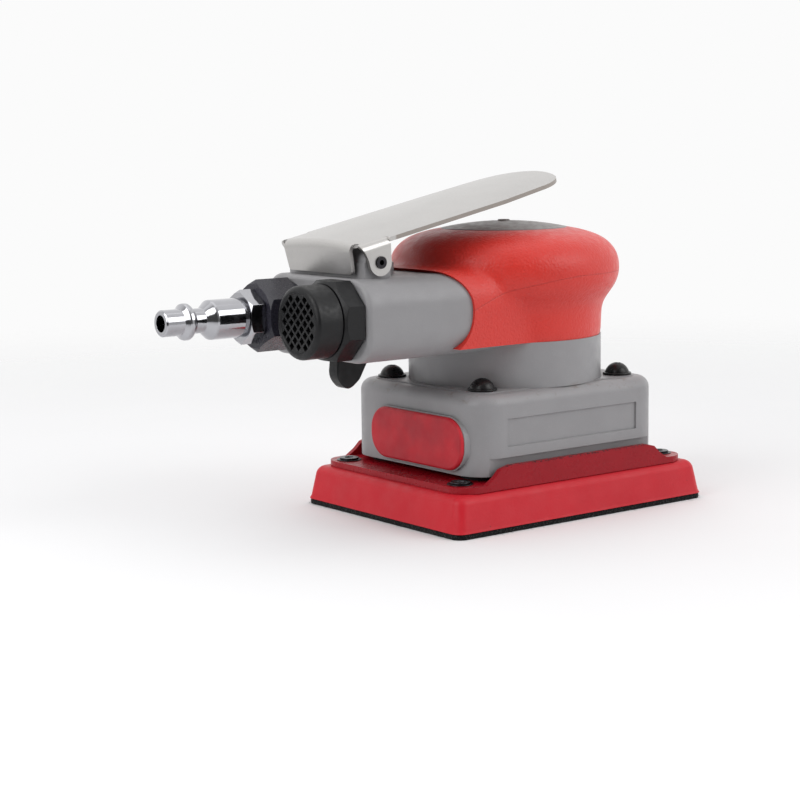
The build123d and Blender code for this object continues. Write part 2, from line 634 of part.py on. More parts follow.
def flange_profile():
    """What is kept of the lid from behind: the bent-down rear flange, with rounded corners."""
    top, low = FLANGE_HALF_WIDTH, FLANGE_HALF_WIDTH - 1.2
    outline = make_face(Polyline((-top, 10), (-low, FLANGE_DROP), (low, FLANGE_DROP), (top, 10), close=True))
    outline = fillet(outline.vertices().group_by(Axis.Y)[0], 1.0)
    plane = Plane(origin=(LEVER_REAR - 1, 0, 0), x_dir=(0, 1, 0), z_dir=(1, 0, 0))
    return extrude(plane * outline, -LEVER_REAR + 1 - EAR_HEEL + 0.6)


def throttle_lever():
    plan = Pos(0, 0, -20) * extrude(lever_outline(), 40)
    sheet = plan & (lever_skin(0) - lever_skin(-LEVER_THICK))
    sheet &= box(EAR_FRONT - 0.5, LEVER_NOSE + 5, -30, 30, 0, 20)
    lid = lever_lid(0) - lever_lid(LEVER_THICK)
    lever = (lid & (ear_profile() + flange_profile())) + sheet
    for side in (-1, 1):
        lever -= post(NOTCH_RADIUS, -5, 12, (-EAR_HEEL, side * (FLANGE_HALF_WIDTH + NOTCH_RADIUS)))
    lever -= Rot(90, 0, 0) * Cylinder(PIN_RADIUS + 0.06, 60)
    return on_lever(lever)


# --- Air motor ------------------------------------------------------------------------------
def cylinder_liner():
    liner = post(LINER_RADIUS, 48.0, 72.0) - Pos(0, LINER_OFFSET, 0) * post(LINER_BORE, 40, 80)
    return liner - box(-30, -15, -17, -11, 56, 66) - box(-30, -15, -2, 2, 60, 63.4)


def lower_end_plate():
    plate = post(LINER_RADIUS, 40.05, 47.95) - post(LOWER_BEARING_RADIUS + 0.02, 39, 46.0)
    return plate - post(8.4, 39, 50)


def upper_end_plate():
    plate = post(LINER_RADIUS, 72.05, 80.0) - post(UPPER_BEARING_RADIUS + 0.02, 74.4, 81)
    return plate - post(5.0, 70, 81)


def lower_bearing():
    return ring(LOWER_BEARING_RADIUS, SHAFT_LOW_RADIUS + 0.04, 40.6, 45.6)


def upper_bearing():
    return ring(UPPER_BEARING_RADIUS, SHAFT_TOP_RADIUS + 0.04, 74.6, 79.4)


def rotor_shaft():
    shaft = post(SHAFT_TOP_RADIUS, 72.0, 79.8) + post(SHAFT_ROTOR_RADIUS, 46.2, 72.0)
    shaft += post(SHAFT_LOW_RADIUS, 32.0, 46.2) + post(10.5, 29.2, 32.0)
    return shaft + post(ECCENTRIC_RADIUS, 17.4, 29.2, PAD_CENTRE)


def counterweight():
    weight = ring(WEIGHT_RADIUS, SHAFT_LOW_RADIUS + CLEARANCE, WEIGHT_LOW, WEIGHT_HIGH)
    keep = Pos(-15, 0, 34) * Box(30, 60, 10)
    block = weight & (Rot(0, 0, ORBIT_REST_ANGLE) * keep)
    return block + ring(11.0, SHAFT_LOW_RADIUS + CLEARANCE, WEIGHT_LOW, WEIGHT_HIGH)


def rotor_slot(i):
    turn = 360.0 / VANES * i
    return Rot(0, 0, turn) * box(11.0, ROTOR_RADIUS + 1, -0.95, 0.95, ROTOR_LOW - 1, ROTOR_HIGH + 1)


def rotor():
    body = ring(ROTOR_RADIUS, SHAFT_ROTOR_RADIUS + 0.02, ROTOR_LOW, ROTOR_HIGH)
    for i in range(VANES):
        body -= rotor_slot(i)
    return body


def rotor_vane(i):
    turn = 360.0 / VANES * i
    return Rot(0, 0, turn) * box(11.4, ROTOR_RADIUS - 0.1, -0.8, 0.8, ROTOR_LOW + 0.1, ROTOR_HIGH - 0.1)


# --- The whole set --------------------------------------------------------------------------
PIECES = {
    "pad_facing": pad_facing,
    "pad_body": pad_body,
    "pad_plate": pad_plate,
    "pad_washers": lambda: [on_pad(pad_washer(at)) for at in pad_screw_places()],
    "pad_screws": lambda: [on_pad(pad_screw(at)) for at in pad_screw_places()],
    "hub_screws": lambda: [on_pad(hub_screw(at)) for at in hub_screw_places()],
    "leg_screws": lambda: [on_pad(leg_screw(at)) for at in leg_places()],
    "pad_hub": pad_hub,
    "hub_bearing": hub_bearing,
    "hub_retaining_ring": hub_retaining_ring,
    "lower_housing": lower_housing,
    "port_cover": port_cover,
    "housing_screws": lambda: [housing_screw(at) for at in leg_places()],
    "screw_washers": lambda: [screw_washer(at) for at in leg_places()],
    "support_legs": lambda: [support_leg(at) for at in leg_places()],
    "motor_housing": motor_housing,
    "palm_grip": palm_grip,
    "top_cap": top_cap,
    "lever_pin": lever_pin,
    "lock_ring": lock_ring,
    "inlet_bushing": inlet_bushing,
    "inlet_screen": inlet_screen,
    "air_plug": air_plug,
    "muffler_collar": muffler_collar,
    "muffler_gasket": muffler_gasket,
    "muffler_cap": muffler_cap,
    "muffler_felt": muffler_felt,
    "valve_bushing": valve_bushing,
    "valve_seat": valve_seat,
    "valve_plunger": valve_plunger,
    "valve_spring": valve_spring,
    "speed_regulator": speed_regulator,
    "regulator_seal": regulator_seal,
    "throttle_lever": throttle_lever,
    "cylinder_liner": cylinder_liner,
    "lower_end_plate": lower_end_plate,
    "upper_end_plate": upper_end_plate,
    "lower_bearing": lower_bearing,
    "upper_bearing": upper_bearing,
    "rotor_shaft": rotor_shaft,
    "counterweight": counterweight,
    "rotor": rotor,
    "rotor_vanes": lambda: [rotor_vane(i) for i in range(VANES)],
}

os.makedirs("parts", exist_ok=True)
for name, make in PIECES.items():
    made = make()
    solids = made if isinstance(made, list) else [made]
    solids = [solid for shape in solids for solid in shape.solids()]
    export_step(solids[0] if len(solids) == 1 else Compound(children=solids), f"parts/{name}.step")
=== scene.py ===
import json
import math
import random
from contextlib import contextmanager

import bmesh
import bpy
from bpy.props import FloatProperty, FloatVectorProperty, IntProperty, PointerProperty
from mathutils import Matrix, Vector


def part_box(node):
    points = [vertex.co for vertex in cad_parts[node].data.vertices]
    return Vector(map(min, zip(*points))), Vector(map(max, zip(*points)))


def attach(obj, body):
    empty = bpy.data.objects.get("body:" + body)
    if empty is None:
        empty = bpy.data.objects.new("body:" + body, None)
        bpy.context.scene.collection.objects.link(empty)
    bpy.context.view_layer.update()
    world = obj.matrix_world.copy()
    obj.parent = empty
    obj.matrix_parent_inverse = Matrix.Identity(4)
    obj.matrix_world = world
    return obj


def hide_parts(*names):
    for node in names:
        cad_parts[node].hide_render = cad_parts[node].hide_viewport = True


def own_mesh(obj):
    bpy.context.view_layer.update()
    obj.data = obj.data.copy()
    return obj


bl_info = {
    "name": "Palm Orbital Sander",
    "version": (1, 0, 0),
    "blender": (4, 5, 0),
    "location": "View3D > Sidebar > Sander",
    "description": "Builds the outer pieces and finishes of a pneumatic palm sander around its frame",
    "category": "Object",
}

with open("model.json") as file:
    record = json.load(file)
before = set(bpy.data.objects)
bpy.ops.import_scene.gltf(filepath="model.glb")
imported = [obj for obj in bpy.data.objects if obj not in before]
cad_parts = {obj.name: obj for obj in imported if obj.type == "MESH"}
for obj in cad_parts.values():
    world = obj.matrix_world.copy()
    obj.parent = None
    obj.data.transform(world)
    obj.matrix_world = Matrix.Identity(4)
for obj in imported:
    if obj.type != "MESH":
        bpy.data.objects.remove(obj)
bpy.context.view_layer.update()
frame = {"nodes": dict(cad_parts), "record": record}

MM = 0.001
TAU = 2 * math.pi
PAD_LOW, PAD_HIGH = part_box("pad_body")
PAD_MID = (PAD_LOW + PAD_HIGH) / 2
PLATE_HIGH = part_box("pad_plate")[1]
FACING_LOW, FACING_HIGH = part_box("pad_facing")
COVER_LOW, COVER_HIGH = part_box("port_cover")
GRIP_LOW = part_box("palm_grip")[0]
WASHERS_LOW, WASHERS_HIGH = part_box("screw_washers")

# Where the grip's rough form starts, and what it is cut to, in metres.
GRIP_START, SADDLE_START, SADDLE_REAR = 48 * MM, 49 * MM, -43.6 * MM
BARREL_HALF_Y, BARREL_TOP, BARREL_ROUND = 27.0 * MM, 77.6 * MM, 8.5 * MM
CORE_RADIUS, CORE_TOP = 27.65 * MM, 83.05 * MM
CAP_SEAT_RADIUS, CAP_SEAT_LOW = 20.1 * MM, 87 * MM
NOSE_X, NOSE_Z = -48.6 * MM, 66.2 * MM
GRIP_VOXEL = 0.75 * MM
FAR = 60 * MM

# Widths of rounded edges, and fixed measures of small pieces, in metres.
EDGE_WASHER, EDGE_SCREW, EDGE_FINE, EDGE_LEVER = 0.12 * MM, 0.14 * MM, 0.15 * MM, 0.22 * MM
EDGE_PAD, EDGE_SMALL, EDGE_SOFT = 0.25 * MM, 0.3 * MM, 0.4 * MM
COVER_DEPTH, COVER_INSET, COVER_ROUND = 1.2 * MM, 0.9 * MM, 0.85 * MM
LIP_HEIGHT = 1.0 * MM
WASHER_BORE = 2.2 * MM

# The facing's loose fibres: how many, in how many steps, how thick, and how deep they start.
FIBRES_PER_MM = 2.6
FIBRE_STEPS = 4
FIBRE_RADIUS = 0.05 * MM
FIBRE_ROOT = 0.1 * MM

# The exhaust cap's cup, in millimetres, as its outline is.
CUP_BORE, CUP_FLOOR, CUP_DISH = 8.95, 1.6, 0.35


def shade(red, green, blue):
    """A colour as seen on a screen, 0 to 255, turned into the linear one that shaders take."""
    parts = [value / 255 for value in (red, green, blue)]
    return tuple(p / 12.92 if p <= 0.04045 else ((p + 0.055) / 1.055) ** 2.4 for p in parts)


# --- What a user may change -------------------------------------------------------------------
def length(name, description, default):
    return FloatProperty(name=name, description=description, default=default, min=0, unit="LENGTH",
                         precision=5)


def colour(name, description, red, green, blue):
    return FloatVectorProperty(name=name, description=description, default=shade(red, green, blue),
                               subtype="COLOR", size=3, min=0, max=1)


class SanderSizes(bpy.types.PropertyGroup):
    pad_corner: length("Pad corner", "Radius of the pad's upright corners", 3.5 * MM)
    pad_taper: length("Pad taper", "How far each side of the pad leans in by its top", 1.8 * MM)
    pad_round: length("Pad top round", "Radius along the pad's top edge", 2.5 * MM)
    pad_lip: length("Pad lip", "How far the moulded lip at the foot of the pad stands out", 0.3 * MM)
    cover_corner: length("Port cover corner", "Radius of the rubber port cover's corners", 7.4 * MM)
    sheet_edge: length("Sheet edge", "Radius on the cut edges of pressed steel", 0.35 * MM)
    fibre: length("Fibre length", "Longest stray fibre on the hook facing", 1.7 * MM)
    grip_flow: IntProperty(name="Grip flow", default=36, min=0,
                           description="Smoothing passes that blend the grip into the barrel")
    grip_proud: length("Grip proud", "How far the grip stands out from the barrel beside it", 0.9 * MM)
    nose_radius: length("Nose radius", "Radius of the scoop where the grip ends on the barrel", 13.3 * MM)
    screw_radius: length("Screw head", "Radius of the housing screws' domed heads", 3.9 * MM)
    screw_rise: length("Screw rise", "Height of the domed heads above their washers", 3.1 * MM)
    socket_radius: length("Screw socket", "Radius of the six-sided sockets", 1.4 * MM)
    washer_radius: length("Washer", "Radius of the washers under the housing screws", 4.6 * MM)
    mesh_hole: length("Muffler hole", "Half the diagonal of the muffler's diamond holes", 1.24 * MM)
    mesh_pitch: length("Muffler pitch", "Half the spacing of the diamond holes in a row", 1.72 * MM)
    mesh_reach: length("Muffler reach", "Radius within which the diamond holes are pierced", 7.8 * MM)
    spring_kept: FloatProperty(name="Spring kept", default=0.4, min=0.1, max=1,
                               description="Share of the valve spring's length left when pressed")
    moulded_edge: length("Moulded edge", "Radius on the edges of moulded pieces", 0.45 * MM)
    machined_edge: length("Machined edge", "Radius on the edges of machined pieces", 0.2 * MM)


class SanderColours(bpy.types.PropertyGroup):
    composite: colour("Composite", "Grey of the moulded housings", 142, 141, 143)
    grip: colour("Grip", "Red of the soft palm grip", 208, 54, 46)
    urethane: colour("Urethane", "Red of the sanding pad", 192, 26, 40)
    cover: colour("Cover", "Red of the port's rubber cover", 194, 36, 48)
    paint: colour("Paint", "Red paint of the pad's plate", 148, 10, 26)
    cap: colour("Cap", "Brown grey of the disc on top", 126, 120, 117)
    black: colour("Black plastic", "Near black of the exhaust and regulator", 19, 19, 21)
    anodised: colour("Black bushing", "Black of the inlet bushing", 42, 41, 50)
    stainless: colour("Stainless", "Grey of the brushed lever", 190, 188, 186)


def sizes():
    return bpy.context.scene.sander_sizes


def colours():
    return bpy.context.scene.sander_colours


# --- Mesh helpers -----------------------------------------------------------------------------
def only(obj):
    """Make one object the only selected one, and the active one."""
    bpy.ops.object.select_all(action="DESELECT")
    obj.select_set(True)
    bpy.context.view_layer.objects.active = obj


@contextmanager
def editing(obj):
    """Edit mode on one object, with nothing selected at first."""
    only(obj)
    bpy.ops.object.mode_set(mode="EDIT")
    bpy.ops.mesh.select_all(action="DESELECT")
    yield
    bpy.ops.object.mode_set(mode="OBJECT")


def pick(kind, test):
    """In edit mode, select only the faces, edges or vertices that pass the test."""
    bpy.ops.mesh.select_mode(type=kind)
    bpy.ops.mesh.select_all(action="DESELECT")
    obj = bpy.context.edit_object
    mesh = bmesh.from_edit_mesh(obj.data)
    for item in {"FACE": mesh.faces, "EDGE": mesh.edges, "VERT": mesh.verts}[kind]:
        item.select_set(bool(test(item)))
    mesh.select_flush_mode()
    bmesh.update_edit_mesh(obj.data)


def middle(edge):
    return (edge.verts[0].co + edge.verts[1].co) / 2


def along(edge, axis):
    """Whether an edge runs along one axis."""
    run = edge.verts[1].co - edge.verts[0].co
    return abs(run[axis]) > 0.98 * run.length


def placed(obj):
    """Put the object's place into its mesh, as a finished piece has it."""
    only(obj)
    bpy.ops.object.transform_apply(location=True, rotation=True, scale=True)
    return obj


def block(name, low, high):
    """A cube primitive at its size and place."""
    low, high = Vector(low), Vector(high)
    bpy.ops.object.select_all(action="DESELECT")
    bpy.ops.mesh.primitive_cube_add(size=1, location=(low + high) / 2, scale=high - low)
    bpy.context.object.name = name
    return placed(bpy.context.object)


def drum(name, radius, low, high, axis="Z", sides=96):
    """A cylinder primitive between two points on its axis."""
    low, high = Vector(low), Vector(high)
    turn = {"X": (0, math.pi / 2, 0), "Y": (math.pi / 2, 0, 0), "Z": (0, 0, 0)}[axis]
    bpy.ops.object.select_all(action="DESELECT")
    bpy.ops.mesh.primitive_cylinder_add(vertices=sides, radius=radius, depth=(high - low).length,
                                        location=(low + high) / 2, rotation=turn)
    bpy.context.object.name = name
    return placed(bpy.context.object)


def spun(name, outline, centre=(0, 0, 0), axis=(0, 0, 1), steps=96):
    """Spin an outline of points about an axis into a closed skin."""
    mesh = bpy.data.meshes.new(name)
    mesh.from_pydata([Vector(p) for p in outline], [(i, i + 1) for i in range(len(outline) - 1)], [])
    obj = bpy.data.objects.new(name, mesh)
    bpy.context.scene.collection.objects.link(obj)
    with editing(obj):
        bpy.ops.mesh.select_all(action="SELECT")
        bpy.ops.mesh.spin(steps=steps, angle=TAU, center=centre, axis=axis)
        bpy.ops.mesh.select_all(action="SELECT")
        bpy.ops.mesh.remove_doubles(threshold=1e-6)
        bpy.ops.mesh.normals_make_consistent(inside=False)
    return obj


def finish_modifier(obj, kind, **settings):
    """Add a modifier, set it and apply it."""
    only(obj)
    modifier = obj.modifiers.new(kind.title(), kind)
    for key, value in settings.items():
        setattr(modifier, key, value)
    bpy.ops.object.modifier_apply(modifier=modifier.name)
    return obj


def cut(obj, tool, how="DIFFERENCE"):
    """Combine with another solid, which is used up."""
    finish_modifier(obj, "BOOLEAN", object=tool, operation=how, solver="EXACT")
    bpy.data.objects.remove(tool)
    return obj


def soften(obj, width, segments=3, angle=30):
    """Round the sharp edges and shade the rest smooth."""
    finish_modifier(obj, "BEVEL", width=width, segments=segments, limit_method="ANGLE",
                    angle_limit=math.radians(angle), use_clamp_overlap=True, miter_outer="MITER_ARC")
    return smooth(obj, angle)


def smooth(obj, angle=30):
    only(obj)
    bpy.ops.object.shade_smooth_by_angle(angle=math.radians(angle))
    return finish_modifier(obj, "WEIGHTED_NORMAL", keep_sharp=True, weight=80)


def copy_of(node, name):
    """A merged copy of a frame node's mesh, with its flat faces made whole."""
    mesh = frame["nodes"][node].data.copy()
    mesh.name = name
    mesh.materials.clear()
    obj = bpy.data.objects.new(name, mesh)
    bpy.context.scene.collection.objects.link(obj)
    with editing(obj):
        bpy.ops.mesh.customdata_custom_splitnormals_clear()
        bpy.ops.mesh.select_all(action="SELECT")
        bpy.ops.mesh.remove_doubles(threshold=2e-6)
        bpy.ops.mesh.dissolve_limited(angle_limit=math.radians(0.4), delimit=set())
    return obj


def settle(obj, body, slot, material, *nodes):
    """Give a finished piece its material and its place in the frame."""
    obj.data.materials.clear()
    obj.data.materials.append(material)
    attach(obj, body)
    if nodes:
        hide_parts(*nodes)
    return obj


def softened(node, body, finish, width, segments=3, angle=30):
    """Stand a copy with rounded edges in for a frame node."""
    obj = soften(copy_of(node, node + "_shape"), width, segments, angle)
    return settle(obj, body, finish, finish_for(finish), node)


# --- Finishes ---------------------------------------------------------------------------------
class Finish:
    """A material whose pattern nodes read the piece's own place in millimetres."""

    def __init__(self, name, base, roughness, metallic=0.0, **sockets):
        self.material = bpy.data.materials.new(name)
        self.material.use_nodes = True
        self.tree = self.material.node_tree
        self.shader = self.tree.nodes["Principled BSDF"]
        self.shader.inputs["Base Color"].default_value = (*base, 1)
        self.shader.inputs["Roughness"].default_value = roughness
        self.shader.inputs["Metallic"].default_value = metallic
        for key, value in sockets.items():
            self.shader.inputs[key.replace("_", " ")].default_value = value
        self.base = base
        self.height = None
        coordinates = self.node("ShaderNodeTexCoord")
        self.place = self.node("ShaderNodeVectorMath", operation="SCALE")
        self.place.inputs["Scale"].default_value = 1 / MM
        self.link(coordinates.outputs["Object"], self.place.inputs[0])
        self.where = self.place.outputs[0]

    def node(self, kind, **settings):
        node = self.tree.nodes.new(kind)
        for key, value in settings.items():
            setattr(node, key, value)
        return node

    def link(self, source, target):
        self.tree.links.new(source, target)

    def feed(self, socket, value):
        """Link a socket to another node's output, or set its number."""
        if isinstance(value, bpy.types.NodeSocket):
            self.link(value, socket)
        else:
            socket.default_value = value

    def noise(self, size, detail=2.0, rough=0.5, stretch=(1, 1, 1), warp=0.0):
        """Cloudy noise with features about this many millimetres across."""
        mapping = self.node("ShaderNodeMapping")
        mapping.inputs["Scale"].default_value = stretch
        texture = self.node("ShaderNodeTexNoise")
        texture.inputs["Scale"].default_value = 1 / size
        texture.inputs["Detail"].default_value = detail
        texture.inputs["Roughness"].default_value = rough
        texture.inputs["Distortion"].default_value = warp
        self.link(self.where, mapping.inputs["Vector"])
        self.link(mapping.outputs[0], texture.inputs["Vector"])
        return texture.outputs["Fac"]

    def cells(self, size, feature="F1", stretch=(1, 1, 1)):
        mapping = self.node("ShaderNodeMapping")
        mapping.inputs["Scale"].default_value = stretch
        texture = self.node("ShaderNodeTexVoronoi", feature=feature)
        texture.inputs["Scale"].default_value = 1 / size
        self.link(self.where, mapping.inputs["Vector"])
        self.link(mapping.outputs[0], texture.inputs["Vector"])
        return texture.outputs["Distance"]

    def ramp(self, value, low, high, out_low=0.0, out_high=1.0):
        """Stretch a value from low..high to another range, held at its ends."""
        node = self.node("ShaderNodeMapRange", interpolation_type="SMOOTHSTEP")
        for socket, number in zip(node.inputs[1:5], (low, high, out_low, out_high)):
            socket.default_value = number
        self.link(value, node.inputs["Value"])
        return node.outputs["Result"]

    def math(self, operation, first, second=0.0):
        node = self.node("ShaderNodeMath", operation=operation)
        self.feed(node.inputs[0], first)
        self.feed(node.inputs[1], second)
        return node.outputs[0]

    def axis(self, name):
        node = self.node("ShaderNodeSeparateXYZ")
        self.link(self.where, node.inputs[0])
        return node.outputs[name]

    def blend(self, mask, colour):
        """Lay a colour over the base where the mask is 1."""
        node = self.node("ShaderNodeMix", data_type="RGBA")
        self.feed(node.inputs[0], mask)
        source = self.shader.inputs["Base Color"]
        if source.is_linked:
            self.link(source.links[0].from_socket, node.inputs[6])
        else:
            node.inputs[6].default_value = source.default_value
        node.inputs[7].default_value = (*colour, 1)
        self.link(node.outputs[2], source)

    def vary(self, size, amount, detail=3.0):
        """Drift the colour lighter and darker in soft patches."""
        darker = tuple(c * (1 - amount) for c in self.base)
        lighter = tuple(min(1.0, c * (1 + amount)) for c in self.base)
        self.blend(self.ramp(self.noise(size, detail), 0.35, 0.75), darker)
        self.blend(self.ramp(self.noise(size * 0.6, detail), 0.6, 0.9), lighter)

    def roughen(self, value, low, high):
        self.link(self.ramp(value, 0.3, 0.7, low, high), self.shader.inputs["Roughness"])

    def bump(self, value, depth):
        """Raise the surface by a depth in millimetres where the value is 1."""
        node = self.node("ShaderNodeBump")
        node.inputs["Distance"].default_value = depth * MM
        self.link(value, node.inputs["Height"])
        if self.shader.inputs["Normal"].is_linked:
            self.link(self.shader.inputs["Normal"].links[0].from_socket, node.inputs["Normal"])
        self.link(node.outputs[0], self.shader.inputs["Normal"])


def composite_finish():
    """Glass-filled nylon: mid grey, faintly mottled, with a few brown scuffs near the top edges."""
    finish = Finish("grey_composite", colours().composite, 0.42, Specular_IOR_Level=0.45)
    finish.vary(9.0, 0.06)
    finish.blend(finish.ramp(finish.noise(0.35, 1.0), 0.62, 0.8, 0, 0.22), shade(168, 166, 166))
    height = finish.axis("Z")
    near_top = finish.math("MULTIPLY", finish.ramp(height, 37.5, 39.6), finish.ramp(height, 42.4, 40.6))
    patches = finish.ramp(finish.noise(4.0, 4.0, 0.65), 0.55, 0.72, 0, 0.55)
    finish.blend(finish.math("MULTIPLY", near_top, patches), shade(112, 100, 88))
    finish.blend(finish.ramp(finish.noise(1.4, 5.0, 0.7), 0.68, 0.8, 0, 0.35), shade(118, 108, 100))
    finish.roughen(finish.noise(3.0, 3.0), 0.36, 0.5)
    finish.bump(finish.noise(0.5, 2.0), 0.02)
    finish.bump(finish.noise(14.0, 1.0), 0.12)
    return finish.material


def grip_finish():
    """Soft red thermoplastic with a fine leather grain and a moulding line along its widest part, bumped in
    as a groove and painted darker there as painted shade.
    """
    finish = Finish("grip_rubber", colours().grip, 0.38, Specular_IOR_Level=0.4)
    finish.vary(12.0, 0.05)
    rearward = finish.math("MINIMUM", finish.math("SUBTRACT", finish.axis("X"), 5.0), 0.0)
    dip = finish.math("MULTIPLY", finish.math("MULTIPLY", rearward, rearward), 0.0055)
    above = finish.math("ADD", finish.math("SUBTRACT", finish.axis("Z"), 75.5), dip)
    seam = finish.ramp(finish.math("ABSOLUTE", above), 0.08, 0.32, 1.0, 0.0)
    # Painted shade: a narrow band along the moulding line's groove is coloured a darker red.
    finish.blend(finish.math("MULTIPLY", seam, 0.3), shade(150, 34, 30))
    finish.roughen(finish.noise(2.5, 3.0), 0.34, 0.46)
    finish.bump(seam, -0.06)
    finish.bump(finish.ramp(finish.cells(0.75, "SMOOTH_F1"), 0.1, 0.6), 0.06)
    finish.bump(finish.noise(0.4, 2.0), 0.03)
    return finish.material


def urethane_finish():
    """Cast red urethane: matt, dusty, with small dark nicks."""
    finish = Finish("pad_urethane", colours().urethane, 0.5, Specular_IOR_Level=0.32)
    finish.vary(16.0, 0.07)
    finish.blend(finish.ramp(finish.noise(0.8, 6.0, 0.7), 0.6, 0.78, 0, 0.14), shade(214, 96, 100))
    finish.blend(finish.ramp(finish.noise(1.1, 2.0), 0.76, 0.8, 0, 0.85), shade(70, 18, 20))
    finish.roughen(finish.noise(6.0, 4.0), 0.42, 0.6)
    finish.bump(finish.noise(0.7, 4.0), 0.05)
    finish.bump(finish.noise(11.0, 1.0), 0.35)
    return finish.material


def cover_finish():
    """Moulded red rubber with a faint dusty bloom; its flat front face is painted a darker red than its
    rounded edges, as painted shade.
    """
    finish = Finish("cover_rubber", colours().cover, 0.48, Specular_IOR_Level=0.3)
    # Painted shade: the flat front face is coloured a darker red, so that the rounded edges read as lit.
    face = finish.ramp(finish.axis("X"), COVER_LOW.x / MM + 0.02, COVER_LOW.x / MM + 0.4, 0.75, 0)
    finish.blend(face, shade(158, 30, 42))
    finish.vary(10.0, 0.06)
    finish.blend(finish.ramp(finish.noise(0.6, 3.0), 0.72, 0.8, 0, 0.4), shade(214, 120, 124))
    finish.roughen(finish.noise(3.0, 3.0), 0.4, 0.56)
    finish.bump(finish.noise(0.5, 2.0), 0.02)
    return finish.material


def paint_finish():
    """Red enamel on pressed steel, worn in specks along the tops of the flanges."""
    finish = Finish("plate_paint", colours().paint, 0.34, Specular_IOR_Level=0.22)
    finish.vary(8.0, 0.08)
    top = PLATE_HIGH.z / MM
    rim = finish.ramp(finish.axis("Z"), top - 0.75, top - 0.1)
    specks = finish.ramp(finish.noise(0.7, 3.0, 0.6), 0.5, 0.58)
    finish.blend(finish.math("MULTIPLY", rim, specks), shade(38, 16, 20))
    finish.blend(finish.ramp(finish.noise(0.8, 4.0, 0.6), 0.74, 0.8, 0, 0.4), shade(92, 24, 30))
    finish.roughen(finish.noise(2.0, 4.0), 0.24, 0.42)
    finish.bump(finish.noise(0.8, 2.0), 0.015)
    return finish.material


def facing_finish():
    """Black woven hook facing: rows of tiny hooks on a dark ground, their tops painted lighter as painted
    highlights.
    """
    finish = Finish("hook_facing", shade(15, 15, 16), 0.9, Specular_IOR_Level=0.15, Sheen_Weight=0.1)
    hooks = finish.cells(0.62)
    # Painted highlight: the hook tops, at the cell centres, are coloured a lighter grey.
    finish.blend(finish.ramp(hooks, 0.15, 0.5, 0.4, 0), shade(52, 50, 50))
    finish.blend(finish.ramp(finish.noise(3.0, 4.0), 0.6, 0.8, 0, 0.3), shade(48, 44, 42))
    finish.bump(finish.ramp(hooks, 0.55, 0.1), 0.4)
    finish.bump(finish.noise(0.3, 2.0), 0.15)
    return finish.material


def fibre_finish():
    """Dark nylon strands, a few of them greyed with dust."""
    finish = Finish("facing_fibre", shade(20, 19, 21), 0.6, Specular_IOR_Level=0.25)
    finish.blend(finish.ramp(finish.noise(2.2, 2.0), 0.64, 0.75, 0, 0.6), shade(104, 96, 96))
    return finish.material


def plastic_finish(name="black_plastic", base=None, roughness=0.42):
    """Black glass-filled plastic with a fine satin grain."""
    finish = Finish(name, base or colours().black, roughness, Specular_IOR_Level=0.3)
    finish.vary(5.0, 0.12)
    finish.blend(finish.ramp(finish.noise(0.9, 5.0, 0.7), 0.68, 0.84, 0, 0.12), shade(92, 90, 92))
    finish.roughen(finish.noise(1.6, 3.0), roughness - 0.07, roughness + 0.1)
    finish.bump(finish.noise(0.3, 2.0), 0.02)
    return finish.material


def cap_finish():
    """Brown-grey satin plastic, finely grained."""
    finish = Finish("cap_plastic", colours().cap, 0.4, Specular_IOR_Level=0.5)
    finish.vary(7.0, 0.1)
    finish.blend(finish.ramp(finish.noise(0.5, 3.0), 0.66, 0.8, 0, 0.25), shade(150, 138, 136))
    finish.roughen(finish.noise(2.0, 3.0), 0.34, 0.5)
    finish.bump(finish.noise(0.35, 2.0), 0.025)
    return finish.material


def metal_finish(name, base, roughness, grain=(1, 1, 1), grain_depth=0.004, spots=0.0):
    """Bare or plated metal; grain stretches its fine scratches along one way."""
    finish = Finish(name, base, roughness, 1.0)
    finish.vary(6.0, 0.05)
    scratches = finish.noise(0.25, 3.0, 0.6, grain)
    finish.roughen(scratches, roughness * 0.8, roughness * 1.25)
    finish.bump(scratches, grain_depth)
    if spots:
        finish.blend(finish.ramp(finish.noise(0.8, 5.0, 0.7), 0.62, 0.75, 0, spots), shade(96, 84, 74))
    return finish.material


def stainless_finish():
    """Tumbled stainless: satin, with a fine sandy grain, and a browner, darker grey on its upright side faces
    forward of x = -59 mm.
    """
    finish = Finish("lever_stainless", colours().stainless, 0.38, 1.0)
    finish.vary(10.0, 0.04)
    finish.blend(finish.ramp(finish.noise(0.28, 2.0, 0.6), 0.5, 0.75, 0, 0.35), shade(160, 154, 148))
    # Side faces, picked by how far their normal turns from the lever's top, are coloured a browner grey
    # forward of x = -59 mm.
    upright = finish.node("ShaderNodeVectorMath", operation="DOT_PRODUCT")
    upright.inputs[1].default_value = (-0.207, 0, 0.978)
    finish.link(finish.node("ShaderNodeTexCoord").outputs["Normal"], upright.inputs[0])
    level = finish.math("ABSOLUTE", upright.outputs["Value"])
    ahead = finish.ramp(finish.axis("X"), -59.7, -59.0)
    sheared = finish.math("MULTIPLY", finish.ramp(level, 0.7, 0.2), ahead)
    finish.blend(finish.math("MULTIPLY", sheared, 0.8), shade(140, 131, 124))
    grain = finish.noise(0.16, 3.0, 0.6)
    finish.roughen(grain, 0.32, 0.44)
    finish.bump(grain, 0.006)
    finish.bump(finish.noise(9.0, 2.0), 0.03)
    return finish.material


def felt_finish():
    """Dark pressed felt, fuzzy all over."""
    finish = Finish("muffler_felt", shade(26, 26, 28), 0.95, Sheen_Weight=0.4)
    finish.blend(finish.ramp(finish.noise(0.4, 4.0), 0.4, 0.7, 0, 0.6), shade(58, 56, 56))
    finish.bump(finish.noise(0.3, 4.0), 0.2)
    return finish.material


def laminate_finish():
    """Brown cloth laminate with its layers showing."""
    finish = Finish("vane_laminate", shade(132, 92, 56), 0.6)
    finish.blend(finish.ramp(finish.noise(0.5, 3.0, 0.6, (1, 1, 6)), 0.4, 0.65, 0, 0.7), shade(96, 62, 36))
    finish.bump(finish.noise(0.4, 2.0, 0.5, (1, 1, 6)), 0.02)
    return finish.material


